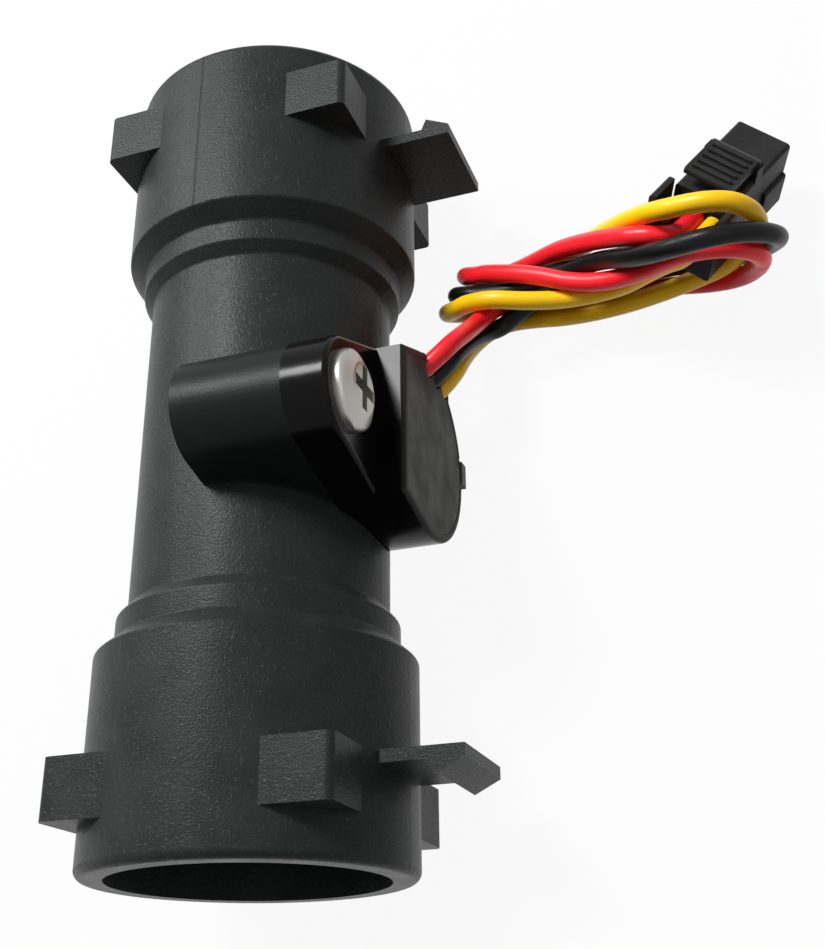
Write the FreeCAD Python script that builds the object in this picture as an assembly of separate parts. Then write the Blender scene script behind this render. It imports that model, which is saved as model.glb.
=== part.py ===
import FreeCAD, Part
import math
import os

V = FreeCAD.Vector

# Turbine flow sensor with two push-in pipe sockets, a potted sensor on its side and a three-wire lead.
# Millimetres. The flow runs along +Y from the inlet mouth, whose centre is the origin. Up is +Z.
# The sensor is drawn with its boss along +X and its screw ear up, then rolled to where it rests.

# Pipe sockets
tube_length = 81.0
socket_od = 30.0
socket_bore = 25.0
socket_depth = 18.0
socket_length = 19.2
rim_round = 0.8

# Collar behind each socket, and the middle tube
shoulder_length = 1.5
ring_od = 26.6
ring_length = 2.2
ring_taper = 1.1
middle_od = 24.6
flow_bore = 18.0
seat_bore = 16.0
seat_length = 4.0
step_round = 0.3

# Corner lugs of each socket: the corners of a square that stand proud of the round wall
lug_square = 26.5
lug_start = 4.0
lug_length = 5.4
lug_corner_round = 0.7

# Barbed tab of each socket
tab_width = 10.4
tab_reach = 6.5
tab_thickness = 1.1
barb_height = 1.2
barb_from_edge = 2.4
barb_slope = 0.5

# Sensor boss: a round body with one screw ear. The body's middle lies a little off the screw's line.
pod_offset = -2.1
pod_radius = 9.4
body_along = 1.0
body_up = -0.25
ear_radius = 5.0
ear_distance = 14.4
window_wall = 1.5
cover_fit = 0.12

# Hook on the boss's far side
hook_width = 2.5
hook_thickness = 1.2
hook_lap = 0.9
hook_height = 2.5
hook_clearance = 0.12
hook_offset = 2.2

# Sensor cover
ear_thickness = 4.25
step_height = 2.65
step_from_centre = 7.5
cover_wall = 0.8
cover_floor = 1.5
cover_edge_round = 0.45
board_ledge = 1.6
chip_room = 1.8

# Wire outlet of the cover, a slanted block beside the raised part
outlet_high = 1.9
outlet_low = -6.0
outlet_near_reach = 10.3
outlet_far_reach = 12.5
outlet_depth = 4.0
outlet_round = 0.6

# Cover screw
screw_head_diameter = 7.4
screw_head_height = 1.5
screw_head_edge = 0.8
screw_core_diameter = 2.8
screw_length = 12.0
screw_hole_clearance = 0.5
pilot_clearance = 0.05
pilot_spare_depth = 1.0
recess_width = 1.1
recess_span = 4.2
recess_depth = 1.2
screw_edge_round = 0.5
screw_crown_round = 0.8
screw_crown_diameter = 4.6

# Electronics in the cover
board_thickness = 1.2
board_clearance = 0.2
chip_width = 4.1
chip_length = 3.0
chip_thickness = 1.5
leg_width = 0.45
leg_pitch = 1.27
leg_reach = 0.9
capacitor_size = (0.9, 2.0, 1.25)
resistor_size = (0.55, 2.0, 1.25)
component_distance = 4.3
solder_radius = 0.7
solder_tip_radius = 0.25
solder_height = 0.6
solder_offset = 3.4
potting_recess = 0.04
potting_gap = 0.03

# Turbine insert
shaft_diameter = 1.6
shaft_seat = 4.0
running_clearance = 0.03
fit_clearance = 0.02
hub_diameter = 9.0
rotor_length = 14.0
blade_count = 6
blade_length = 12.0
blade_thickness = 0.9
blade_twist = 70.0
blade_sections = 5
tip_clearance = 0.4
bush_od = 3.2
bush_length = 3.0
bush_stop = 0.3
magnet_od = 7.6
magnet_length = 5.0
washer_od = 3.6
washer_thickness = 0.35
end_play = 0.15
guide_length = 9.0
guide_ring_wall = 0.9
guide_fit = 0.05
vane_count = 4
vane_thickness = 1.0
vane_setback = 1.2
nose_length = 3.8
nose_tip_radius = 0.8
circlip_width = 1.2
circlip_depth = 0.7
circlip_height = 1.4
circlip_gap_angle = 40.0

# Three-way plug, drawn with its nose along +Y and its latch up
plug_length = 14.3
plug_width = 5.8
plug_height = 6.0
plug_edge_round = 0.4
collar_width = 7.6
collar_length = 3.2
collar_rise = 0.4
skirt_width = 6.5
skirt_length = 3.8
skirt_top = 3.4
skirt_bottom = 7.2
contact_pitch = 2.0
contact_size = 1.1
contact_length = 8.0
contact_hollow = 0.7
cavity_clearance = 0.08
contact_setback = 0.8
contact_drop = 2.2
entry_depth = 3.2
entry_clearance = 0.1
entry_round = 0.5
barrel_length = 1.6
barrel_diameter = 1.08

# Latch lever on the plug
latch_width = 5.0
latch_length = 4.9
latch_front = 5.9
latch_rise = 1.9
latch_thickness = 0.8
latch_root_radius = 0.6
latch_root_clearance = 0.08
latch_nose_drop = 0.3
latch_edge_round = 0.3
latch_nose_round = 0.2
latch_throat = 0.6
rib_count = 5
rib_width = 0.35
rib_height = 0.3
rib_margin = 0.5
rib_root = 0.1

# Where the plug lies
plug_nose_place = (51.1, 67.0)
plug_heading = 56.3
plug_pitch = -24.3
plug_roll = 16.0
floor_clearance = 0.02

# Wires
wire_od = 1.9
lead_spacing = 2.4
lead_row_centre = -2.1
lead_exit_offset = 9.6
lead_exit_lean = 45.0
lead_embed = 1.8
lead_stand_out = 2.4
wire_hole_clearance = 0.1
arc_share = 0.45
tail_length = 5.0
plug_gap = 0.35

# Each lead's hand-chosen points from its exit to the hank, in the part's frame
lead_routes = {
    "red": [(17.7, 54.3, -7.0), (19.2, 58.4, -12.0)],
    "black": [(21.3, 53.2, -9.4), (23.0, 57.2, -12.0)],
    "yellow": [(18.3, 53.8, -11.2), (20.8, 57.2, -13.4)],
}

# The hank's cross-sections from its left end to its right end:
# distance along X, centre Y, centre Z, half width, half height
hank_sections = [
    (13.9, 60.2, -11.8, 0.9, 1.4),
    (15.4, 60.2, -11.8, 2.0, 2.7),
    (17.0, 61.2, -11.5, 4.0, 3.4),
    (20.0, 60.6, -11.2, 4.5, 3.7),
    (24.0, 59.6, -11.1, 4.6, 3.8),
    (30.0, 58.9, -10.9, 4.4, 4.0),
    (34.0, 58.1, -9.7, 3.9, 5.2),
    (38.0, 56.5, -8.1, 3.7, 6.8),
    (42.0, 55.5, -6.9, 3.9, 8.0),
    (46.0, 54.8, -6.1, 3.8, 8.2),
    (49.0, 54.3, -5.5, 3.2, 7.0),
    (51.0, 53.9, -6.0, 2.0, 3.6),
    (52.2, 53.6, -6.0, 0.9, 1.4),
]
hank_section_points = 12

# How far a cutting shape runs past the face that it opens, and how exactly a level is matched
cut_over = 1.0
level_tolerance = 0.01

# Places that follow from the sizes above
socket_radius = socket_od / 2
flow_radius = flow_bore / 2
floor_z = -socket_radius
pod_y = tube_length / 2 + pod_offset
hook_y = pod_y + hook_offset
body_low_z = body_up - pod_radius
hook_inner_z = body_low_z - hook_clearance
seam_x = flow_radius + window_wall
ear_top_x = seam_x + ear_thickness
rim_x = ear_top_x + step_height
board_x = seam_x + cover_floor + chip_room
board_top_x = board_x + board_thickness
potting_top_x = rim_x - potting_recess
cup_radius = pod_radius - cover_wall
cup_flat = step_from_centre - cover_wall
rotor_start = pod_y - rotor_length / 2
rotor_end = pod_y + rotor_length / 2
end_gap = washer_thickness + end_play
seat_y = socket_depth + seat_length
guide_radius = flow_radius - guide_fit
hub_radius = hub_diameter / 2
shaft_radius = shaft_diameter / 2
bush_radius = bush_od / 2
magnet_radius = magnet_od / 2
shaft_start = rotor_start - end_gap - shaft_seat
shaft_end = rotor_end + end_gap + shaft_seat
outlet_guide_end = rotor_end + end_gap + guide_length
pilot_radius = screw_core_diameter / 2 + pilot_clearance
pilot_start = ear_top_x - screw_length - pilot_spare_depth
lug_corner_distance = (lug_square / 2 - lug_corner_round) * math.sqrt(2)
lug_corner_angle = 45.0
rest_lean = math.degrees(math.asin((socket_radius - lug_corner_round) / lug_corner_distance))
rest_roll = rest_lean - lug_corner_angle
flow_axis = V(0, 1, 0)
origin = V(0, 0, 0)


# Shared shapes

def corner_arc(before, corner, after, radius):
    """The start, middle and end of the arc that rounds a corner."""
    back = (before - corner).normalize()
    ahead = (after - corner).normalize()
    half = back.getAngle(ahead) / 2
    reach = radius / math.tan(half)
    inward = (back + ahead).normalize()
    middle = corner + inward * (radius / math.sin(half) - radius)
    return corner + back * reach, middle, corner + ahead * reach


def rounded_face(corners):
    """A flat face through (point, radius) corners, each rounded by its radius."""
    count = len(corners)
    arcs = []
    for i in range(count):
        point, radius = corners[i]
        if radius:
            arcs.append(corner_arc(corners[i - 1][0], point, corners[(i + 1) % count][0], radius))
        else:
            arcs.append((point, None, point))
    edges = []
    for i in range(count):
        start, middle, end = arcs[i]
        if middle:
            edges.append(Part.Arc(start, middle, end).toShape())
        following = arcs[(i + 1) % count][0]
        edges.append(Part.LineSegment(end, following).toShape())
    return Part.Face(Part.Wire(edges))


def turned(profile):
    """A solid turned about the flow axis from (radius, distance along the axis, corner radius)."""
    face = rounded_face([(V(r, y, 0), rounding) for r, y, rounding in profile])
    return face.revolve(origin, flow_axis, 360)


def rod(radius, start, end):
    """A round bar on the flow axis."""
    return Part.makeCylinder(radius, end - start, V(0, start, 0), flow_axis)


def tube(outer, inner, start, end):
    """A round sleeve on the flow axis."""
    return rod(outer, start, end).cut(rod(inner, start, end))


def block(low, high):
    """A box between two opposite corners."""
    size = high - low
    return Part.makeBox(size.x, size.y, size.z, low)


def mirrored(shape):
    """The same shape at the outlet end."""
    return shape.mirror(V(0, tube_length / 2, 0), flow_axis)


def screw_post(radius, start, end):
    """A round bar on the cover screw's axis."""
    return Part.makeCylinder(radius, end - start, V(start, pod_y, ear_distance), V(1, 0, 0))


def body_post(radius, start, end):
    """A round bar on the axis of the boss's round body."""
    return Part.makeCylinder(radius, end - start, V(start, pod_y + body_along, body_up), V(1, 0, 0))


def tear_prism(start, end, grow=0.0):
    """The boss's outline, a large and a small circle with common tangents, as a prism along +X."""
    large = pod_radius + grow
    small = ear_radius + grow
    rise = ear_distance - body_up
    tilt = math.atan2(-body_along, rise)
    lean = math.acos((large - small) / math.hypot(body_along, rise))
    left = tilt - lean
    right = tilt + lean

    def on_body(angle):
        y = body_along + large * math.sin(angle)
        return V(start, pod_y + y, body_up + large * math.cos(angle))

    def on_ear(angle):
        return V(start, pod_y + small * math.sin(angle), ear_distance + small * math.cos(angle))

    edges = [
        Part.Arc(on_body(left), on_body(tilt + math.pi), on_body(right)).toShape(),
        Part.LineSegment(on_body(right), on_ear(right)).toShape(),
        Part.Arc(on_ear(right), on_ear(tilt), on_ear(left)).toShape(),
        Part.LineSegment(on_ear(left), on_body(left)).toShape(),
    ]
    return Part.Face(Part.Wire(edges)).extrude(V(end - start, 0, 0))


def flattened(shape, height):
    """A boss shape with its screw side cut flat at a height."""
    box = shape.BoundBox
    side = V(cut_over, cut_over, 0)
    low = V(box.XMin, box.YMin, height) - side
    high = V(box.XMax, box.YMax, box.ZMax + cut_over) + side
    return shape.cut(block(low, high))


# Housing

def socket_details():
    """The lugs and the barbed tab of the inlet socket."""
    half = lug_square / 2
    lug_end = lug_start + lug_length
    corners = [
        (V(x, lug_start, z), lug_corner_round)
        for x, z in ((-half, -half), (half, -half), (half, half), (-half, half))
    ]
    lugs = rounded_face(corners).extrude(V(0, lug_length, 0))
    root_x = (socket_radius + socket_bore / 2) / 2
    edge_x = socket_radius + tab_reach
    ridge_x = edge_x - barb_from_edge
    thin = lug_end - tab_thickness
    tab_outline = [
        (V(root_x, lug_end, -tab_width / 2), 0),
        (V(edge_x, lug_end, -tab_width / 2), 0),
        (V(edge_x, thin, -tab_width / 2), 0),
        (V(ridge_x, thin - barb_height, -tab_width / 2), 0),
        (V(ridge_x - barb_slope, thin, -tab_width / 2), 0),
        (V(root_x, thin, -tab_width / 2), 0),
    ]
    tab = rounded_face(tab_outline).extrude(V(0, 0, tab_width))
    return lugs.fuse(tab)


def hook():
    """The hook on the boss's far side that laps over the cover's ledge."""
    inner = hook_inner_z
    outer = inner - hook_thickness
    top = ear_top_x + hook_clearance + hook_height
    outline = [
        (V(0, hook_y - hook_width / 2, outer), 0),
        (V(0, hook_y - hook_width / 2, inner), 0),
        (V(ear_top_x + hook_clearance, hook_y - hook_width / 2, inner), 0),
        (V(ear_top_x + hook_clearance, hook_y - hook_width / 2, inner + hook_lap), 0),
        (V(top - hook_lap / 2, hook_y - hook_width / 2, inner + hook_lap), 0),
        (V(top, hook_y - hook_width / 2, inner), 0),
        (V(top, hook_y - hook_width / 2, outer), 0),
    ]
    return rounded_face(outline).extrude(V(0, hook_width, 0))


def flow_tube():
    ring_start = socket_length + shoulder_length
    ring_end = ring_start + ring_length
    middle_start = ring_end + ring_taper
    half_profile = [
        (socket_radius, 0, rim_round),
        (socket_radius, socket_length, step_round),
        (ring_od / 2, ring_start, step_round),
        (ring_od / 2, ring_end, step_round),
        (middle_od / 2, middle_start, step_round),
    ]
    far_half = [(r, tube_length - y, rounding) for r, y, rounding in reversed(half_profile)]
    outside = turned([(0, 0, 0)] + half_profile + far_half + [(0, tube_length, 0)])
    details = socket_details()
    body = outside.fuse([details, mirrored(details), tear_prism(0, seam_x), hook()])
    bed = tear_prism(seam_x, middle_od / 2 + cut_over, cover_fit)
    hook_room = block(
        V(seam_x, hook_y - hook_width / 2, -socket_radius),
        V(socket_radius, hook_y + hook_width / 2, hook_inner_z),
    )
    socket_cut = rod(socket_bore / 2, -cut_over, socket_depth)
    far_end = tube_length - socket_depth
    groove = rod(flow_radius + circlip_depth, outlet_guide_end, outlet_guide_end + circlip_width)
    cuts = [
        bed.cut(hook_room),
        socket_cut,
        mirrored(socket_cut),
        rod(seat_bore / 2, socket_depth - cut_over, seat_y + cut_over),
        rod(flow_radius, seat_y, far_end + cut_over),
        groove,
        screw_post(pilot_radius, pilot_start, seam_x + cut_over),
    ]
    return body.cut(cuts).removeSplitter()


# Sensor cover and what it holds

def rounded_top(shape, level, radius):
    """A boss shape with the outline of its top face rounded."""
    edges = [
        edge for edge in shape.Edges
        if all(abs(vertex.X - level) < level_tolerance for vertex in edge.Vertexes)
    ]
    return shape.makeFillet(radius, edges)


def wire_outlet(start, end, inset=0.0):
    """The slanted block that the wires leave through, as a prism along +X."""
    high = outlet_high - inset
    low = outlet_low + inset
    corners = [
        (V(start, pod_y, low), 0),
        (V(start, pod_y + outlet_far_reach - inset, low), outlet_round),
        (V(start, pod_y + outlet_near_reach - inset, high), outlet_round),
        (V(start, pod_y, high), 0),
    ]
    return rounded_face(corners).extrude(V(end - start, 0, 0))


def raised_part(start, end, inset=0.0):
    """The cover's raised part: the boss's outline cut flat near the screw."""
    return flattened(tear_prism(start, end, -inset), step_from_centre - inset)


def cover():
    ear_level = rounded_top(tear_prism(seam_x, ear_top_x), ear_top_x, cover_edge_round)
    raised = raised_part(seam_x, rim_x).fuse(wire_outlet(rim_x - outlet_depth, rim_x)).removeSplitter()
    shell = ear_level.fuse(rounded_top(raised, rim_x, cover_edge_round)).removeSplitter()
    floor_x = seam_x + cover_floor
    board_room = flattened(body_post(cup_radius, board_x, rim_x), cup_flat)
    fill_room = raised_part(board_top_x, rim_x + cut_over, cover_wall)
    outlet_room = wire_outlet(board_top_x, rim_x + cut_over, cover_wall)
    lower_post = body_post(cup_radius - board_ledge, floor_x, board_x + cut_over)
    lower = flattened(lower_post, cup_flat - board_ledge)
    hole_radius = screw_core_diameter / 2 + screw_hole_clearance
    screw_hole = screw_post(hole_radius, seam_x - cut_over, ear_top_x + cut_over)
    notch_half = hook_width / 2 + hook_clearance
    hook_notch = block(
        V(ear_top_x, hook_y - notch_half, body_low_z - cut_over),
        V(rim_x + cut_over, hook_y + notch_half, body_low_z + hook_lap),
    )
    rooms = [board_room, fill_room, outlet_room, lower, screw_hole, hook_notch]
    return shell.cut(rooms + wire_holes())


def screw():
    head_radius = screw_head_diameter / 2
    seat = ear_top_x
    top = seat + screw_head_height
    profile = [
        (V(seat - screw_length, 0, 0), 0),
        (V(seat - screw_length + screw_core_diameter / 2, screw_core_diameter / 2, 0), 0),
        (V(seat, screw_core_diameter / 2, 0), 0),
        (V(seat, head_radius, 0), 0),
        (V(seat + screw_head_edge, head_radius, 0), screw_edge_round),
        (V(top, screw_crown_diameter / 2, 0), screw_crown_round),
        (V(top, 0, 0), 0),
    ]
    shape = rounded_face(profile).revolve(origin, V(1, 0, 0), 360)
    for span_y, span_z in ((recess_span, recess_width), (recess_width, recess_span)):
        low = V(top - recess_depth, -span_y / 2, -span_z / 2)
        high = V(top + cut_over, span_y / 2, span_z / 2)
        shape = shape.cut(block(low, high))
    shape.translate(V(0, pod_y, ear_distance))
    return shape


def circuit_board():
    post = body_post(cup_radius - board_clearance, board_x, board_top_x)
    return flattened(post, cup_flat - board_clearance)


def hall_chip():
    floor_x = seam_x + cover_floor
    low = V(floor_x, pod_y - chip_length / 2, -chip_width / 2)
    return block(low, low + V(chip_thickness, chip_length, chip_width))


def hall_legs():
    """Three legs that leave the chip's side and turn up to the board."""
    start_x = seam_x + cover_floor + chip_thickness / 2
    chip_side = pod_y - chip_length / 2
    legs = []
    for place in (-1, 0, 1):
        z = place * leg_pitch - leg_width / 2
        out = block(
            V(start_x, chip_side - leg_reach, z), V(start_x + leg_width, chip_side, z + leg_width)
        )
        up = block(
            V(start_x, chip_side - leg_reach, z),
            V(board_x, chip_side - leg_reach + leg_width, z + leg_width),
        )
        legs.append(out.fuse(up).removeSplitter())
    return Part.makeCompound(legs)


def component(size, side):
    """A chip component under the board."""
    height, along, across = size
    centre = side * component_distance
    low = V(board_x - height, pod_y - along / 2, centre - across / 2)
    return block(low, low + V(height, along, across))


def solder_joints():
    """The wires' solder cones under the board."""
    cones = []
    for place in (1, 0, -1):
        centre = V(board_x, pod_y + solder_offset, place * lead_spacing)
        cones.append(Part.makeCone(solder_radius, solder_tip_radius, solder_height, centre, V(-1, 0, 0)))
    return Part.makeCompound(cones)


def lead_exit(place):
    """Where a wire's middle passes the potting's face, and the way that it leaves."""
    lean = math.radians(lead_exit_lean)
    point = V(potting_top_x, pod_y + lead_exit_offset, lead_row_centre + place * lead_spacing)
    return point, V(math.cos(lean), math.sin(lean), 0)


def wire_holes():
    """The room that the wires take in the potting and in the edge of the outlet."""
    radius = wire_od / 2 + wire_hole_clearance
    reach = 2 * (lead_embed + wire_od)
    holes = []
    for place in (1, 0, -1):
        point, way = lead_exit(place)
        holes.append(Part.makeCylinder(radius, reach, point - way * lead_embed, way))
    return holes


def potting():
    inset = cover_wall + potting_gap
    fill = raised_part(board_top_x, potting_top_x, inset)
    fill = fill.fuse(wire_outlet(board_top_x, potting_top_x, inset)).removeSplitter()
    return fill.cut(wire_holes())


# Turbine insert

def guide(wheel_end, far_end):
    """A vane spider between its wheel end and its far end, with a blunt nose past the far end."""
    low = min(wheel_end, far_end)
    high = max(wheel_end, far_end)
    outward = 1 if far_end > wheel_end else -1
    ring = tube(guide_radius, guide_radius - guide_ring_wall, low, high)
    nose_way = flow_axis * outward
    nose = Part.makeCone(hub_radius, nose_tip_radius, nose_length, V(0, far_end, 0), nose_way)
    hub = rod(hub_radius, low, high).fuse(nose)
    vanes = []
    for i in range(vane_count):
        vane = block(
            V(0, low + vane_setback, -vane_thickness / 2),
            V(guide_radius - guide_ring_wall / 2, high - vane_setback, vane_thickness / 2),
        )
        vane.rotate(origin, flow_axis, i * 360 / vane_count + 180 / vane_count)
        vanes.append(vane)
    body = ring.fuse([hub] + vanes)
    pin_end = wheel_end + outward * shaft_seat
    pin_hole = rod(shaft_radius + fit_clearance, min(wheel_end, pin_end), max(wheel_end, pin_end))
    return body.cut(pin_hole).removeSplitter()


def blade(angle):
    """One helical blade, lofted through turned sections."""
    start = pod_y - blade_length / 2
    half = blade_thickness / 2
    inner = (hub_radius + magnet_radius) / 2
    outer = flow_radius
    sections = []
    for i in range(blade_sections):
        share = i / (blade_sections - 1)
        turn = math.radians(angle + blade_twist * share)
        along = V(math.cos(turn), 0, math.sin(turn))
        side = V(-math.sin(turn), 0, math.cos(turn))
        base = V(0, start + blade_length * share, 0)
        corners = [
            base + along * inner - side * half,
            base + along * outer - side * half,
            base + along * outer + side * half,
            base + along * inner + side * half,
        ]
        sections.append(Part.makePolygon(corners + [corners[0]]))
    return Part.makeLoft(sections, True)


def rotor():
    hub = rod(hub_radius, rotor_start, rotor_end)
    blades = [blade(i * 360 / blade_count) for i in range(blade_count)]
    sweep_space = rod(flow_radius - tip_clearance, rotor_start, rotor_end)
    wheel = hub.fuse([one.common(sweep_space) for one in blades])
    pocket_start = pod_y - magnet_length / 2
    cuts = [
        rod(magnet_radius + fit_clearance, pocket_start, rotor_end),
        rod(bush_radius + fit_clearance, rotor_start, rotor_start + bush_length),
        rod(bush_radius - bush_stop, rotor_start, pocket_start),
    ]
    return wheel.cut(cuts).removeSplitter()


def ring_magnet():
    start = pod_y - magnet_length / 2
    return tube(magnet_radius, bush_radius + fit_clearance, start, start + magnet_length)


def rotor_cap():
    start = pod_y + magnet_length / 2
    return tube(magnet_radius, bush_radius + fit_clearance, start, rotor_end)


def bush(start):
    return tube(bush_radius, shaft_radius + running_clearance, start, start + bush_length)


def washer(start):
    return tube(washer_od / 2, shaft_radius + running_clearance, start, start + washer_thickness)


def retaining_ring():
    outer = flow_radius + circlip_depth - fit_clearance
    start = outlet_guide_end
    ring = tube(outer, outer - circlip_height, start, start + circlip_width)
    gap = math.radians(circlip_gap_angle / 2)
    reach = 2 * outer
    corners = [
        V(0, start, 0),
        V(reach * math.sin(gap), start, -reach * math.cos(gap)),
        V(-reach * math.sin(gap), start, -reach * math.cos(gap)),
    ]
    wedge = Part.Face(Part.makePolygon(corners + [corners[0]])).extrude(V(0, circlip_width, 0))
    return ring.cut(wedge)


# Plug, in its own frame: nose end at y = 0, top of the nose at z = 0

def upright_bar(width, start, end, bottom, top, rounding):
    """A bar along the plug with rounded long edges."""
    half = width / 2
    corners = [(-half, bottom), (half, bottom), (half, top), (-half, top)]
    face = rounded_face([(V(x, start, z), rounding) for x, z in corners])
    return face.extrude(V(0, end - start, 0))


def contact_places():
    """How far each wire's contact lies from the plug's middle."""
    return {"red": 0.0, "black": -contact_pitch, "yellow": contact_pitch}


def latch_root():
    """The middle of the lever's rounded root, just behind the nose."""
    return V(0, -latch_front, latch_root_radius + latch_root_clearance)


def plug_housing():
    rear = -plug_length
    body = upright_bar(plug_width, rear, 0, -plug_height, 0, plug_edge_round)
    collar = upright_bar(
        collar_width, rear, rear + collar_length, -plug_height - collar_rise, collar_rise, plug_edge_round
    )
    skirt = upright_bar(skirt_width, -skirt_length, 0, -skirt_bottom, -skirt_top, plug_edge_round)
    root = latch_root()
    cheek_top = root.z + latch_root_radius
    cheeks = []
    for side in (-1, 1):
        inner = side * (latch_width / 2 + latch_root_clearance)
        outer = side * plug_width / 2
        cheeks.append(block(
            V(min(inner, outer), root.y - latch_root_radius, -plug_edge_round),
            V(max(inner, outer), root.y + latch_root_radius, cheek_top),
        ))
    shape = body.fuse([collar, skirt] + cheeks)
    half = contact_size / 2 + cavity_clearance
    cuts = []
    for x in contact_places().values():
        low = V(x - half, rear - cut_over, -contact_drop - half)
        high = V(x + half, cut_over, -contact_drop + half)
        cuts.append(block(low, high))
    wire_room = wire_od / 2 + entry_clearance
    entry_width = 2 * (contact_pitch + wire_room)
    entry_low = -contact_drop - wire_room
    entry_high = collar_rise + cut_over
    cuts.append(
        upright_bar(entry_width, rear - cut_over, rear + entry_depth, entry_low, entry_high, entry_round)
    )
    return shape.cut(cuts).removeSplitter()


def terminal(x):
    """A crimp contact: a hollow box with a barrel that grips the wire."""
    half = contact_size / 2
    front = -contact_setback
    back = front - contact_length
    box = block(V(x - half, back, -contact_drop - half), V(x + half, front, -contact_drop + half))
    hollow = contact_hollow / 2
    opening = block(
        V(x - hollow, back + contact_length / 2, -contact_drop - hollow),
        V(x + hollow, front + cut_over, -contact_drop + hollow),
    )
    barrel_start = V(x, back - barrel_length, -contact_drop)
    barrel = Part.makeCylinder(barrel_diameter / 2, barrel_length, barrel_start, V(0, 1, 0))
    return box.cut(opening).fuse(barrel).removeSplitter()


def plug_latch():
    """The lever: a rounded root, an arm that rises from it, and a ribbed pad."""
    root = latch_root()
    half = latch_width / 2
    pad_end = -latch_front - latch_length
    underside = latch_rise - latch_thickness
    arm_outline = [
        (V(-half, root.y + latch_root_radius, root.z), 0),
        (V(-half, root.y + latch_root_radius, latch_rise - latch_nose_drop), latch_nose_round),
        (V(-half, root.y, latch_rise), latch_edge_round),
        (V(-half, pad_end, latch_rise), latch_edge_round),
        (V(-half, pad_end, underside), latch_edge_round),
        (V(-half, root.y - latch_root_radius - latch_throat, underside), latch_edge_round),
        (V(-half, root.y - latch_root_radius, root.z), 0),
    ]
    arm = rounded_face(arm_outline).extrude(V(latch_width, 0, 0))
    knuckle = Part.makeCylinder(latch_root_radius, latch_width, V(-half, root.y, root.z), V(1, 0, 0))
    ribs = []
    span = latch_length - 2 * rib_margin - rib_width
    for i in range(rib_count):
        y = pad_end + rib_margin + span * i / (rib_count - 1)
        ribs.append(block(
            V(-half + rib_margin, y, latch_rise - rib_root),
            V(half - rib_margin, y + rib_width, latch_rise + rib_height),
        ))
    return arm.fuse([knuckle] + ribs).removeSplitter()


# Wires

def arc_radius(before, corner, after):
    """The largest arc that a corner of a wire's route has room for."""
    shorter = min((corner - before).Length, (after - corner).Length)
    turn = math.pi - (before - corner).getAngle(after - corner)
    return arc_share * shorter / math.tan(turn / 2)


def wire_tube(name, points):
    """A round wire along straight runs joined by tangent arcs."""
    edges = []
    here = points[0]
    radii = []
    for i in range(1, len(points) - 1):
        radius = arc_radius(points[i - 1], points[i], points[i + 1])
        start, middle, end = corner_arc(points[i - 1], points[i], points[i + 1], radius)
        edges.append(Part.LineSegment(here, start).toShape())
        edges.append(Part.Arc(start, middle, end).toShape())
        here = end
        radii.append(round(radius, 1))
    edges.append(Part.LineSegment(here, points[-1]).toShape())
    path = Part.Wire(edges)
    section = Part.Wire(Part.makeCircle(wire_od / 2, points[0], points[1] - points[0]))
    solid = path.makePipeShell([section], True, False)
    wanted = math.pi * wire_od ** 2 / 4 * path.Length
    share = round(solid.Volume / wanted, 3)
    print(name, "bend radii", radii, "length", round(path.Length, 1), "volume share", share)
    return solid


def hank_body():
    """The outer shape of the folded wires, straight between rounded sections."""
    wires = []
    for x, y, z, wide, high in hank_sections:
        points = []
        for i in range(hank_section_points):
            turn = 2 * math.pi * i / hank_section_points
            points.append(V(x, y + wide * math.cos(turn), z + high * math.sin(turn)))
        curve = Part.BSplineCurve()
        curve.interpolate(points, PeriodicFlag=True)
        wires.append(Part.Wire(curve.toShape()))
    return Part.makeLoft(wires, True, True)


def plug_placement(shapes):
    """The plug's pose, with its lowest point just clear of the floor."""
    turn = FreeCAD.Rotation(V(0, 0, 1), plug_heading - 90)
    turn = turn.multiply(FreeCAD.Rotation(V(1, 0, 0), plug_pitch))
    turn = turn.multiply(FreeCAD.Rotation(V(0, 1, 0), plug_roll))
    trial = Part.makeCompound(shapes)
    trial.Placement = FreeCAD.Placement(origin, turn)
    lift = floor_z + floor_clearance - trial.optimalBoundingBox(False).ZMin
    nose_x, nose_y = plug_nose_place
    return FreeCAD.Placement(V(nose_x, nose_y, lift), turn)


# Assembly

def build_sensor():
    """The sensor's pieces with the boss along +X."""
    return {
        "flow_tube": flow_tube(),
        "inlet_guide": guide(rotor_start - end_gap, seat_y),
        "outlet_guide": guide(rotor_end + end_gap, outlet_guide_end),
        "rotor_shaft": rod(shaft_radius, shaft_start, shaft_end),
        "front_washer": washer(rotor_start - end_gap),
        "rear_washer": washer(rotor_end + end_play),
        "retaining_ring": retaining_ring(),
        "rotor": rotor(),
        "ring_magnet": ring_magnet(),
        "rotor_cap": rotor_cap(),
        "front_bush": bush(rotor_start),
        "rear_bush": bush(rotor_end - bush_length),
        "sensor_cover": cover(),
        "cover_screw": screw(),
        "circuit_board": circuit_board(),
        "hall_chip": hall_chip(),
        "hall_legs": hall_legs(),
        "chip_capacitor": component(capacitor_size, 1),
        "chip_resistor": component(resistor_size, -1),
        "solder_joints": solder_joints(),
        "potting": potting(),
    }


def rolled(point):
    """A point or direction of the sensor after it is rolled to rest."""
    return FreeCAD.Rotation(flow_axis, rest_roll).multVec(point)


def build_leads():
    leads = {}
    for colour, place in (("red", 1), ("black", 0), ("yellow", -1)):
        point, way = lead_exit(place)
        start = rolled(point - way * lead_embed)
        stand_out = rolled(point + way * lead_stand_out)
        route = [V(*spot) for spot in lead_routes[colour]]
        leads["lead_" + colour] = wire_tube("lead_" + colour, [start, stand_out] + route)
    return leads


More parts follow.
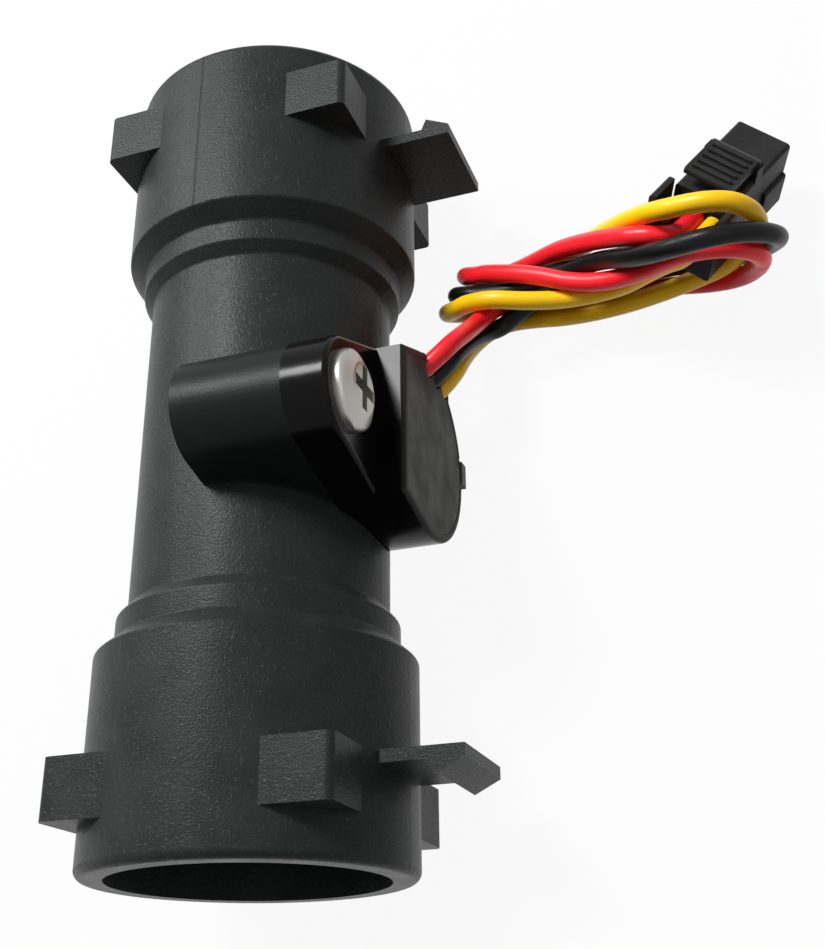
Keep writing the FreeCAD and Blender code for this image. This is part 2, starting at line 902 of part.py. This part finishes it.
def build_plug():
    pieces = {"plug_housing": plug_housing(), "plug_latch": plug_latch()}
    tails = {}
    entry_end = -plug_length + entry_depth
    for colour, x in contact_places().items():
        pieces["terminal_" + colour] = terminal(x)
        tails["tail_" + colour] = Part.makeCylinder(
            wire_od / 2, tail_length, V(x, entry_end - tail_length, -contact_drop), V(0, 1, 0)
        )
    envelope = block(
        V(-collar_width / 2 - plug_gap, -plug_length, -plug_height - collar_rise - plug_gap),
        V(collar_width / 2 + plug_gap, 2 * plug_gap, latch_rise + rib_height + plug_gap),
    )
    placement = plug_placement([pieces["plug_housing"]])
    pieces.update(tails)
    for shape in list(pieces.values()) + [envelope]:
        shape.Placement = placement.multiply(shape.Placement)
    pieces["wire_hank"] = hank_body().cut(envelope)
    hinge = placement.multVec(latch_root())
    axis = placement.Rotation.multVec(V(1, 0, 0))
    print("latch hinge", [round(v, 4) for v in hinge], "axis", [round(v, 5) for v in axis])
    return pieces


def main():
    os.makedirs("parts", exist_ok=True)
    nodes = {}
    for name, shape in build_sensor().items():
        shape.rotate(origin, flow_axis, rest_roll)
        nodes[name] = shape
    nodes.update(build_leads())
    nodes.update(build_plug())
    for name, shape in nodes.items():
        shape.exportStep("parts/" + name + ".step")
        print(name, len(shape.Solids), shape.isValid(), round(shape.Volume, 1))
    print("rest roll", round(rest_roll, 3), "nodes", len(nodes))


main()
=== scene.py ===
import math
import bpy
from mathutils import Matrix, Vector


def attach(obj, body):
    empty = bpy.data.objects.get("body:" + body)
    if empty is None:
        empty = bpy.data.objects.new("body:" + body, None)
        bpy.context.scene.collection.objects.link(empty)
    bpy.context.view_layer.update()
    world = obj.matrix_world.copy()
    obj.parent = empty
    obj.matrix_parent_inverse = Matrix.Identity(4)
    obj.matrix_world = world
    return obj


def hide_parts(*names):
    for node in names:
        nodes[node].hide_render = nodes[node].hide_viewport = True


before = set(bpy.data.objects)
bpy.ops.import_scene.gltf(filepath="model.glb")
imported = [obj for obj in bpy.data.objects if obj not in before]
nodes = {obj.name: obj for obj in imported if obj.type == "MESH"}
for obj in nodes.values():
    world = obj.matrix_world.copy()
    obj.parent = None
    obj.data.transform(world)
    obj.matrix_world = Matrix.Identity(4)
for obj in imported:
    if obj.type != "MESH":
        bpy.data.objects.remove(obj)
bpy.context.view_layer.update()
bpy.ops.object.select_all(action="DESELECT")

# Turbine flow sensor: the looks of the housing, the screwed-on sensor, the folded wires and the plug.
# Places are metres in the part's own frame, and the wires' points are millimetres.
mm = 0.001

# Camera, floor and light
camera_place = Vector((0.0680739, -0.0150797, 0.0965761))
camera_right = Vector((0.87990, -0.00966, -0.47507))
camera_up = Vector((0.20652, 0.90819, 0.36405))
camera_back = Vector((0.42794, -0.41844, 0.80111))
camera_lens = 49.30
camera_sensor = 36.0
camera_near = 0.01
floor_level = -15.0 * mm
floor_side = 4.0
floor_dark = (0.52, 0.52, 0.52)
floor_light = (0.56, 0.56, 0.56)
floor_grain = 40.0
floor_roughness = 0.8
white_strength = 1.0
white_share = 0.93
room_strength = 0.10
lamps_aim = Vector((0.012, 0.040, -0.002))
lamp_distance = 0.45
# Each lamp's way in the picture, to the right, up and towards the camera, then its side and its watts
lamps = {
    "window_lamp": (-0.80, 0.59, 0.08, 0.15, 1.05),
    "room_lamp": (-0.57, 0.70, 0.43, 0.11, 2.3),
    "fill_lamp": (0.10, 0.20, 0.97, 0.30, 0.18),
}

# Wires
wire_diameter = 1.9 * mm
wire_round_steps = 7
wire_length_steps = 10
red_route = [
    (15.8, 46.9, -2.1), (18.4, 48.9, -2.5), (19.3, 50.3, -3.2), (19.9, 52.8, -5.7),
    (20.1, 55.7, -8.7), (20.6, 58.6, -11.6), (22.4, 59.6, -13.2), (25.7, 58.8, -13.9),
    (30.7, 57.8, -14.1), (35.3, 57.4, -14.0), (39.2, 56.8, -14.0), (42.7, 55.9, -14.0),
    (46.0, 55.0, -13.1), (48.4, 54.0, -10.5), (49.5, 52.9, -7.0), (48.3, 52.4, -4.2),
    (45.7, 52.5, -3.0), (42.8, 52.6, -2.7), (39.4, 53.4, -4.8), (35.2, 54.7, -7.1),
    (30.9, 56.1, -7.7), (26.5, 58.4, -7.3), (21.0, 60.7, -8.1), (19.9, 61.0, -8.5),
    (18.0, 62.2, -9.6), (17.3, 63.2, -11.2), (17.8, 63.7, -12.7), (18.9, 63.9, -13.6),
    (21.1, 63.8, -13.8), (24.5, 63.0, -12.1), (29.1, 61.7, -9.1), (34.2, 58.7, -5.3),
    (38.4, 55.9, -2.3), (40.6, 55.1, -2.2), (42.1, 55.1, -3.0), (42.9, 55.8, -4.0),
    (44.2, 57.8, -5.1),
]
black_route = [
    (15.4, 46.9, -4.5), (17.7, 48.7, -4.8), (18.4, 52.2, -7.4), (19.2, 55.3, -10.8),
    (20.8, 56.4, -12.4), (22.9, 57.2, -11.8), (24.9, 57.9, -11.6), (26.9, 58.3, -11.7),
    (29.3, 58.6, -12.1), (32.4, 58.3, -12.0), (36.6, 58.2, -12.2), (40.4, 58.0, -12.6),
    (44.5, 57.5, -13.0), (48.2, 56.7, -11.9), (50.7, 55.1, -8.6), (51.5, 53.1, -4.9),
    (49.8, 52.2, -1.8), (46.9, 51.5, 0.2), (42.8, 51.8, -0.2), (38.4, 53.8, -3.0),
    (34.0, 57.2, -6.5), (29.6, 58.8, -9.4), (25.1, 58.3, -9.6), (19.8, 58.7, -8.7),
    (18.6, 59.1, -8.6), (17.0, 59.8, -9.2), (16.6, 60.6, -10.6), (17.2, 61.2, -11.8),
    (18.3, 61.5, -12.4), (20.9, 61.6, -12.3), (25.4, 60.5, -11.2), (29.7, 60.0, -10.6),
    (33.3, 59.1, -9.5), (36.4, 57.5, -7.6), (38.3, 56.1, -5.6), (39.8, 55.9, -4.1),
    (41.5, 57.1, -3.5), (42.8, 59.1, -4.6),
]
yellow_route = [
    (15.1, 46.9, -6.9), (17.3, 48.7, -7.2), (17.3, 53.5, -10.7), (18.3, 57.0, -13.6),
    (20.6, 57.9, -14.1), (23.5, 57.4, -13.8), (28.2, 56.1, -13.4), (33.7, 55.6, -13.2),
    (38.7, 55.5, -12.6), (42.4, 55.5, -11.8), (45.2, 55.6, -11.2), (47.7, 55.8, -9.5),
    (49.6, 55.0, -6.2), (50.2, 54.4, -2.5), (49.0, 54.7, -0.3), (46.5, 55.0, 0.7),
    (43.2, 55.6, 0.4), (39.2, 57.9, -2.4), (34.1, 60.8, -7.5), (29.5, 62.6, -11.8),
    (26.1, 62.7, -13.9), (23.3, 61.6, -14.0), (20.6, 60.5, -14.0), (18.2, 60.1, -13.9),
    (15.8, 60.0, -13.1), (15.0, 59.3, -11.3), (15.8, 58.2, -9.5), (17.8, 57.3, -8.0),
    (18.9, 57.2, -7.4), (22.1, 56.4, -6.6), (25.2, 55.7, -7.5), (28.7, 55.6, -9.1),
    (32.2, 55.6, -9.8), (35.5, 55.2, -9.2), (38.4, 55.0, -7.8), (40.7, 54.5, -6.4),
    (42.5, 53.8, -5.4), (44.4, 54.6, -4.5), (45.7, 56.6, -5.6),
]

# Surface effects. A span turns noise into a mask: 0 up to its first value, 1 from its second.
# The roughness of scuffs, fibres and film is added to the roughness of the surface they lie on.
patch_scale_share = 0.06
patch_span = (0.35, 0.65)
# Each way that fibres and scuffs run: how the noise is stretched, and its span
fibre_ways = [((1.0, 0.35, 1.0), (0.62, 0.74)), ((0.5, 1.0, 0.5), (0.62, 0.74))]
scuff_ways = [((1.0, 0.05, 0.6), (0.62, 0.72)), ((0.08, 1.0, 0.9), (0.64, 0.72))]

# Moulded plastic, and the pale dust that rubbing leaves on it
scuff_scale_share = 0.35
scuff_roughness = 0.10
moulded_bump = 0.35
rubbed_colour = (0.16, 0.16, 0.155)

# Plated metal
plating_grain_share = 0.5
plating_depth = 0.02 * mm
plating_bump = 0.25

# Wire insulation
insulation_grain = 900.0
insulation_scuffs = 700.0
insulation_roughness = (0.30, 0.38)
insulation_scuff_roughness = 0.15
insulation_depth = 0.03 * mm
insulation_bump = 0.25

# Housing of black nylon with glass fibres
housing_dark = (0.0180, 0.0197, 0.0195)
housing_light = (0.0232, 0.0254, 0.0250)
housing_grain = 4600.0
housing_roughness = (0.33, 0.39)
housing_specular = 0.085
housing_depth = 0.036 * mm
fibre_scale = 5200.0
fibre_colour = (0.060, 0.063, 0.062)
fibre_share = 0.32
fibre_roughness = -0.08
fibre_height = 0.4

# Glossy cover, with potting resin smeared over its rim.
# The rim faces along the sideways axis of the rolled sensor, and the film's places are along that axis.
cover_dark = (0.0020, 0.0021, 0.0020)
cover_light = (0.0032, 0.0033, 0.0031)
cover_grain = 700.0
cover_roughness = (0.24, 0.18)
cover_specular = 0.085
cover_depth = 0.03 * mm
sensor_roll = math.radians(8.679)
film_start = 17.0 * mm
film_end = 17.35 * mm
film_colour = (0.026, 0.026, 0.0247)
film_roughness = 0.32

# The sensor's boss on the tube, which is smoother than the tube's wall; its colour is painted darker than
# the wall's, as painted shade
boss_start = 24.5 * mm
boss_end = 56.0 * mm
boss_root_radius = 12.35 * mm
boss_clear_radius = 13.0 * mm
boss_painted_shade = (0.009, 0.010, 0.010)
boss_smoothing = 0.75

# Mould's parting line on the far socket
parting_colour = (0.008, 0.009, 0.009)
parting_share = 0.6
parting_turn = math.radians(2.3)
parting_half_width = 0.06 * mm
parting_fade = 0.08 * mm
parting_start = 61.0 * mm
parting_height = 10.0 * mm


# Node helpers. A mix node's colour sockets share names with its other sockets, so they go by number.

mix_colour_inputs = (6, 7)
mix_colour_output = 2


def start_group(name, outputs):
    """A node group that is given a place and a scale, and puts out values."""
    group = bpy.data.node_groups.new(name, "ShaderNodeTree")
    group.interface.new_socket("Place", in_out="INPUT", socket_type="NodeSocketVector")
    group.interface.new_socket("Scale", in_out="INPUT", socket_type="NodeSocketFloat")
    for label in outputs:
        group.interface.new_socket(label, in_out="OUTPUT", socket_type="NodeSocketFloat")
    entry = group.nodes.new("NodeGroupInput")
    leave = group.nodes.new("NodeGroupOutput")
    return group, entry.outputs, leave.inputs


def feed(tree, socket, value):
    """Sets a socket to a plain number, or links another node's output to it."""
    if isinstance(value, (int, float)):
        socket.default_value = value
    else:
        tree.links.new(value, socket)


def math_node(tree, operation, first, second=0.0):
    node = tree.nodes.new("ShaderNodeMath")
    node.operation = operation
    feed(tree, node.inputs[0], first)
    feed(tree, node.inputs[1], second)
    return node.outputs["Value"]


def noise_node(tree, place, scale, detail, roughness=0.5):
    node = tree.nodes.new("ShaderNodeTexNoise")
    node.inputs["Detail"].default_value = detail
    node.inputs["Roughness"].default_value = roughness
    tree.links.new(place, node.inputs["Vector"])
    feed(tree, node.inputs["Scale"], scale)
    return node.outputs["Fac"]


def range_node(tree, value, low, high, to_low=0.0, to_high=1.0):
    node = tree.nodes.new("ShaderNodeMapRange")
    node.inputs["From Min"].default_value = low
    node.inputs["From Max"].default_value = high
    node.inputs["To Min"].default_value = to_low
    node.inputs["To Max"].default_value = to_high
    tree.links.new(value, node.inputs["Value"])
    return node.outputs["Result"]


def stretch_node(tree, place, stretch):
    node = tree.nodes.new("ShaderNodeMapping")
    node.inputs["Scale"].default_value = stretch
    tree.links.new(place, node.inputs["Vector"])
    return node.outputs["Vector"]


def axes_of(tree, place):
    node = tree.nodes.new("ShaderNodeSeparateXYZ")
    tree.links.new(place, node.inputs["Vector"])
    return node.outputs["X"], node.outputs["Y"], node.outputs["Z"]


def sideways_place(tree, x, z, roll):
    """How far a place lies along the sideways axis of something that is rolled about the flow."""
    across = math_node(tree, "MULTIPLY", x, math.cos(roll))
    upwards = math_node(tree, "MULTIPLY", z, math.sin(roll))
    return math_node(tree, "SUBTRACT", across, upwards)


# Shared surface effects

def make_moulded_grain():
    """Fine grain of a moulded surface, and the slow patches that its flow leaves."""
    group, entry, leave = start_group("moulded_grain", ["Height", "Patches"])
    fine = noise_node(group, entry["Place"], entry["Scale"], detail=2.0)
    slow_scale = math_node(group, "MULTIPLY", entry["Scale"], patch_scale_share)
    slow = noise_node(group, entry["Place"], slow_scale, detail=3.0)
    group.links.new(fine, leave["Height"])
    group.links.new(range_node(group, slow, *patch_span), leave["Patches"])
    return group


def make_streaks(name, label, ways, detail):
    """A mask of small marks that run in two ways."""
    group, entry, leave = start_group(name, [label])
    masks = []
    for stretch, span in ways:
        stretched = stretch_node(group, entry["Place"], stretch)
        masks.append(range_node(group, noise_node(group, stretched, entry["Scale"], detail), *span))
    group.links.new(math_node(group, "MAXIMUM", *masks), leave[label])
    return group


moulded_grain = make_moulded_grain()
# Short pale glass fibres at the surface, along the tube and across it, and thin handling scratches
fibre_flecks = make_streaks("fibre_flecks", "Flecks", fibre_ways, detail=1.0)
fine_scuffs = make_streaks("fine_scuffs", "Scuffs", scuff_ways, detail=2.0)


# Materials

def start_material(name):
    material = bpy.data.materials.new(name)
    material.use_nodes = True
    tree = material.node_tree
    shader = tree.nodes["Principled BSDF"]
    place = tree.nodes.new("ShaderNodeTexCoord")
    return material, tree, shader, place.outputs["Object"]


def use_group(tree, group, place, scale):
    node = tree.nodes.new("ShaderNodeGroup")
    node.node_tree = group
    node.inputs["Scale"].default_value = scale
    tree.links.new(place, node.inputs["Place"])
    return node.outputs


def mix_colour(tree, share, first, second):
    """Mixes two colours, each a fixed colour or another node's output."""
    node = tree.nodes.new("ShaderNodeMix")
    node.data_type = "RGBA"
    tree.links.new(share, node.inputs["Factor"])
    for number, colour in zip(mix_colour_inputs, (first, second)):
        socket = node.inputs[number]
        if isinstance(colour, tuple):
            socket.default_value = (*colour, 1.0)
        else:
            tree.links.new(colour, socket)
    return node.outputs[mix_colour_output]


def add_bump(tree, shader, height, depth, strength):
    node = tree.nodes.new("ShaderNodeBump")
    node.inputs["Distance"].default_value = depth
    node.inputs["Strength"].default_value = strength
    tree.links.new(height, node.inputs["Height"])
    tree.links.new(node.outputs["Normal"], shader.inputs["Normal"])


def moulded_plastic(name, dark, light, dull, shiny, grain, depth, specular=0.5, rub=0.0):
    """A moulded or cast surface: patches of two shades and glosses, a fine grain and pale rub marks."""
    material, tree, shader, place = start_material(name)
    grains = use_group(tree, moulded_grain, place, grain)
    scuffs = use_group(tree, fine_scuffs, place, grain * scuff_scale_share)
    shades = mix_colour(tree, grains["Patches"], dark, light)
    rubbed = math_node(tree, "MULTIPLY", scuffs["Scuffs"], rub)
    tree.links.new(mix_colour(tree, rubbed, shades, rubbed_colour), shader.inputs["Base Color"])
    gloss = range_node(tree, grains["Patches"], 0.0, 1.0, dull, shiny)
    worn = math_node(tree, "MULTIPLY", scuffs["Scuffs"], scuff_roughness)
    tree.links.new(math_node(tree, "ADD", gloss, worn), shader.inputs["Roughness"])
    shader.inputs["Specular IOR Level"].default_value = specular
    add_bump(tree, shader, grains["Height"], depth, moulded_bump)
    return material


def plated_metal(name, dark, light, dull, shiny, scratch):
    """A metal surface with fine scratches that are duller than the rest."""
    material, tree, shader, place = start_material(name)
    grains = use_group(tree, moulded_grain, place, scratch * plating_grain_share)
    scuffs = use_group(tree, fine_scuffs, place, scratch)
    tree.links.new(mix_colour(tree, grains["Patches"], dark, light), shader.inputs["Base Color"])
    tree.links.new(range_node(tree, scuffs["Scuffs"], 0.0, 1.0, shiny, dull), shader.inputs["Roughness"])
    shader.inputs["Metallic"].default_value = 1.0
    add_bump(tree, shader, grains["Height"], plating_depth, plating_bump)
    return material


def parting_line(tree, place):
    """A mask that is 1 on the thin line that the mould's joint leaves on top of the far socket."""
    x, y, z = axes_of(tree, place)
    away = math_node(tree, "ABSOLUTE", sideways_place(tree, x, z, parting_turn))
    line = range_node(tree, away, parting_half_width, parting_half_width + parting_fade, 1.0, 0.0)
    on_socket = math_node(tree, "GREATER_THAN", y, parting_start)
    on_top = math_node(tree, "GREATER_THAN", z, parting_height)
    return math_node(tree, "MULTIPLY", line, math_node(tree, "MULTIPLY", on_socket, on_top))


def boss_area(tree, place):
    """A mask that is 1 on the boss, which stands out from the tube's middle, and 0 on the tube."""
    x, y, z = axes_of(tree, place)
    squares = math_node(tree, "ADD", math_node(tree, "MULTIPLY", x, x), math_node(tree, "MULTIPLY", z, z))
    proud = range_node(tree, math_node(tree, "SQRT", squares), boss_root_radius, boss_clear_radius)
    after_start = math_node(tree, "GREATER_THAN", y, boss_start)
    before_end = math_node(tree, "LESS_THAN", y, boss_end)
    return math_node(tree, "MULTIPLY", proud, math_node(tree, "MULTIPLY", after_start, before_end))


def fibre_filled_housing():
    """Black nylon with glass fibres: satin, finely speckled, with the mould's parting line."""
    material, tree, shader, place = start_material("housing_nylon")
    grains = use_group(tree, moulded_grain, place, housing_grain)
    flecks = use_group(tree, fibre_flecks, place, fibre_scale)["Flecks"]
    line = parting_line(tree, place)
    boss = boss_area(tree, place)
    shades = mix_colour(tree, grains["Patches"], housing_dark, housing_light)
    speckled = mix_colour(tree, math_node(tree, "MULTIPLY", flecks, fibre_share), shades, fibre_colour)
    lined = mix_colour(tree, math_node(tree, "MULTIPLY", line, parting_share), speckled, parting_colour)
    # Painted shade: the boss gets a darker colour than the rest of the tube
    tree.links.new(mix_colour(tree, boss, lined, boss_painted_shade), shader.inputs["Base Color"])
    gloss = range_node(tree, grains["Patches"], 0.0, 1.0, *housing_roughness)
    fibre_gloss = math_node(tree, "MULTIPLY", flecks, fibre_roughness)
    tree.links.new(math_node(tree, "ADD", gloss, fibre_gloss), shader.inputs["Roughness"])
    shader.inputs["Specular IOR Level"].default_value = housing_specular
    bumps = math_node(tree, "ADD", grains["Height"], math_node(tree, "MULTIPLY", flecks, fibre_height))
    kept_share = math_node(tree, "SUBTRACT", 1.0, math_node(tree, "MULTIPLY", boss, boss_smoothing))
    height = math_node(tree, "SUBTRACT", math_node(tree, "MULTIPLY", bumps, kept_share), line)
    add_bump(tree, shader, height, housing_depth, strength=1.0)
    return material


def resin_film(tree, place):
    """A mask that grows to 1 towards the top of the cover's rim."""
    x, _, z = axes_of(tree, place)
    return range_node(tree, sideways_place(tree, x, z, sensor_roll), film_start, film_end)


def screwed_on_cover():
    """Glossy black plastic, with a dull film of the potting resin on its rim."""
    material, tree, shader, place = start_material("cover_gloss")
    grains = use_group(tree, moulded_grain, place, cover_grain)
    film = resin_film(tree, place)
    shades = mix_colour(tree, grains["Patches"], cover_dark, cover_light)
    tree.links.new(mix_colour(tree, film, shades, film_colour), shader.inputs["Base Color"])
    gloss = range_node(tree, grains["Patches"], 0.0, 1.0, *cover_roughness)
    dulled = math_node(tree, "MULTIPLY", film, film_roughness)
    tree.links.new(math_node(tree, "ADD", gloss, dulled), shader.inputs["Roughness"])
    shader.inputs["Specular IOR Level"].default_value = cover_specular
    add_bump(tree, shader, grains["Height"], cover_depth, moulded_bump)
    return material


def wire_insulation(name, deep, bright, specular):
    """Soft glossy insulation, a little uneven along its length."""
    material, tree, shader, place = start_material(name)
    grains = use_group(tree, moulded_grain, place, insulation_grain)
    scuffs = use_group(tree, fine_scuffs, place, insulation_scuffs)
    tree.links.new(mix_colour(tree, grains["Patches"], deep, bright), shader.inputs["Base Color"])
    gloss = range_node(tree, grains["Patches"], 0.0, 1.0, *insulation_roughness)
    worn = math_node(tree, "MULTIPLY", scuffs["Scuffs"], insulation_scuff_roughness)
    tree.links.new(math_node(tree, "ADD", gloss, worn), shader.inputs["Roughness"])
    shader.inputs["Specular IOR Level"].default_value = specular
    add_bump(tree, shader, grains["Height"], insulation_depth, insulation_bump)
    return material


housing_finish = fibre_filled_housing()
cover_finish = screwed_on_cover()
potting_finish = moulded_plastic(
    "potting_resin", dark=(0.017, 0.017, 0.0161), light=(0.060, 0.0597, 0.0564),
    dull=0.56, shiny=0.46, grain=4200.0, depth=0.03 * mm, specular=0.08, rub=0.14,
)
plug_finish = moulded_plastic(
    "plug_nylon", dark=(0.020, 0.0204, 0.0204), light=(0.028, 0.0285, 0.0285),
    dull=0.44, shiny=0.34, grain=3200.0, depth=0.03 * mm, specular=0.05, rub=0.06,
)
insert_finish = moulded_plastic(
    "insert_acetal", dark=(0.70, 0.70, 0.66), light=(0.80, 0.80, 0.76),
    dull=0.45, shiny=0.36, grain=900.0, depth=0.03 * mm,
)
bush_finish = moulded_plastic(
    "bush_plastic", dark=(0.22, 0.14, 0.06), light=(0.30, 0.20, 0.10),
    dull=0.50, shiny=0.40, grain=1500.0, depth=0.03 * mm,
)
magnet_finish = moulded_plastic(
    "magnet_ferrite", dark=(0.035, 0.035, 0.037), light=(0.07, 0.07, 0.073),
    dull=0.62, shiny=0.50, grain=2500.0, depth=0.06 * mm,
)
board_finish = moulded_plastic(
    "board_resist", dark=(0.012, 0.11, 0.045), light=(0.02, 0.16, 0.065),
    dull=0.36, shiny=0.28, grain=800.0, depth=0.03 * mm,
)
chip_finish = moulded_plastic(
    "chip_resin", dark=(0.012, 0.012, 0.012), light=(0.020, 0.020, 0.020),
    dull=0.62, shiny=0.55, grain=3000.0, depth=0.05 * mm,
)
ceramic_finish = moulded_plastic(
    "capacitor_ceramic", dark=(0.40, 0.28, 0.16), light=(0.52, 0.38, 0.24),
    dull=0.46, shiny=0.38, grain=2500.0, depth=0.03 * mm,
)
screw_finish = plated_metal(
    "screw_plating", dark=(0.34, 0.325, 0.30), light=(0.50, 0.48, 0.45),
    dull=0.52, shiny=0.36, scratch=2600.0,
)
pin_finish = plated_metal(
    "pin_steel", dark=(0.55, 0.55, 0.56), light=(0.68, 0.68, 0.69),
    dull=0.34, shiny=0.20, scratch=3000.0,
)
tin_finish = plated_metal(
    "tinned_contact", dark=(0.62, 0.62, 0.61), light=(0.76, 0.76, 0.75),
    dull=0.36, shiny=0.22, scratch=3200.0,
)
red_finish = wire_insulation(
    "red_insulation", deep=(0.88, 0.012, 0.022), bright=(0.96, 0.020, 0.030), specular=0.30
)
black_finish = wire_insulation(
    "black_insulation", deep=(0.004, 0.004, 0.004), bright=(0.006, 0.006, 0.006), specular=0.14
)
yellow_finish = wire_insulation(
    "yellow_insulation", deep=(0.88, 0.51, 0.002), bright=(0.96, 0.59, 0.004), specular=0.30
)

finishes = {
    housing_finish: ["flow_tube"],
    cover_finish: ["sensor_cover"],
    potting_finish: ["potting"],
    screw_finish: ["cover_screw"],
    pin_finish: ["rotor_shaft", "front_washer", "rear_washer", "retaining_ring"],
    insert_finish: ["inlet_guide", "outlet_guide", "rotor", "rotor_cap"],
    bush_finish: ["front_bush", "rear_bush"],
    magnet_finish: ["ring_magnet"],
    board_finish: ["circuit_board"],
    chip_finish: ["hall_chip", "chip_resistor"],
    ceramic_finish: ["chip_capacitor"],
    tin_finish: ["hall_legs", "solder_joints", "terminal_red", "terminal_black", "terminal_yellow"],
    red_finish: ["lead_red", "tail_red", "wire_hank"],
    black_finish: ["lead_black", "tail_black"],
    yellow_finish: ["lead_yellow", "tail_yellow"],
    plug_finish: ["plug_housing", "plug_latch"],
}
for finish, names in finishes.items():
    for name in names:
        for material_slot in nodes[name].material_slots:
            material_slot.material = finish


# Wires: each one runs from the potting to the plug, folded twice

def lay_wire(colour, route, finish):
    name = "wire_" + colour
    curve = bpy.data.curves.new(name, "CURVE")
    curve.dimensions = "3D"
    spline = curve.splines.new("NURBS")
    spline.points.add(len(route) - 1)
    for point, place in zip(spline.points, route):
        point.co = (*(Vector(place) * mm), 1.0)
    spline.order_u = 3
    spline.use_endpoint_u = True
    spline.resolution_u = wire_length_steps
    curve.bevel_depth = wire_diameter / 2
    curve.bevel_resolution = wire_round_steps
    curve.use_fill_caps = True
    curve.materials.append(finish)
    wire = bpy.data.objects.new(name, curve)
    bpy.context.collection.objects.link(wire)
    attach(wire, "sensor")
    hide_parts("lead_" + colour, "tail_" + colour, "wire_hank")


lay_wire("red", red_route, red_finish)
lay_wire("black", black_route, black_finish)
lay_wire("yellow", yellow_route, yellow_finish)


# Floor, room and lamps

def white_for_the_eye(tree):
    """How far a ray sees plain white: the camera's and the reflected rays do, and light does not."""
    path = tree.nodes.new("ShaderNodeLightPath")
    seen = math_node(tree, "MAXIMUM", path.outputs["Is Camera Ray"], path.outputs["Is Glossy Ray"])
    return math_node(tree, "MAXIMUM", seen, path.outputs["Is Transmission Ray"])


def make_floor():
    bpy.ops.mesh.primitive_plane_add(size=floor_side, location=(0.0, 0.0, floor_level))
    floor = bpy.context.object
    floor.name = "floor"
    material, tree, shader, place = start_material("pale_floor")
    grains = use_group(tree, moulded_grain, place, floor_grain)
    shades = mix_colour(tree, grains["Patches"], floor_dark, floor_light)
    tree.links.new(shades, shader.inputs["Base Color"])
    shader.inputs["Roughness"].default_value = floor_roughness
    glow = tree.nodes.new("ShaderNodeEmission")
    glow.inputs["Strength"].default_value = white_strength
    mix = tree.nodes.new("ShaderNodeMixShader")
    tree.links.new(math_node(tree, "MULTIPLY", white_for_the_eye(tree), white_share), mix.inputs["Fac"])
    tree.links.new(shader.outputs["BSDF"], mix.inputs[1])
    tree.links.new(glow.outputs["Emission"], mix.inputs[2])
    tree.links.new(mix.outputs["Shader"], tree.nodes["Material Output"].inputs["Surface"])
    floor.data.materials.append(material)


def make_room():
    world = bpy.data.worlds.new("pale_room")
    bpy.context.scene.world = world
    world.use_nodes = True
    tree = world.node_tree
    back = tree.nodes["Background"]
    back.inputs["Color"].default_value = (1.0, 1.0, 1.0, 1.0)
    strength = range_node(tree, white_for_the_eye(tree), 0.0, 1.0, room_strength, white_strength)
    tree.links.new(strength, back.inputs["Strength"])


def add_lamp(name, right, up, back, side, watts):
    """A square soft lamp in a direction of the picture: to the right, up and towards the camera."""
    way = (camera_right * right + camera_up * up + camera_back * back).normalized()
    lamp = bpy.data.lights.new(name, "AREA")
    lamp.size = side
    lamp.energy = watts
    holder = bpy.data.objects.new(name, lamp)
    holder.location = lamps_aim + way * lamp_distance
    holder.rotation_euler = way.to_track_quat("Z", "Y").to_euler()
    bpy.context.collection.objects.link(holder)


def make_camera():
    camera = bpy.data.cameras.new("camera")
    camera.lens = camera_lens
    camera.sensor_width = camera_sensor
    camera.clip_start = camera_near
    holder = bpy.data.objects.new("camera", camera)
    turn = Matrix((camera_right, camera_up, camera_back)).transposed().to_4x4()
    holder.matrix_world = Matrix.Translation(camera_place) @ turn
    bpy.context.collection.objects.link(holder)
    bpy.context.scene.camera = holder


make_floor()
make_room()
make_camera()
for lamp_name, lamp_values in lamps.items():
    add_lamp(lamp_name, *lamp_values)
bpy.context.scene.view_settings.view_transform = "Standard"
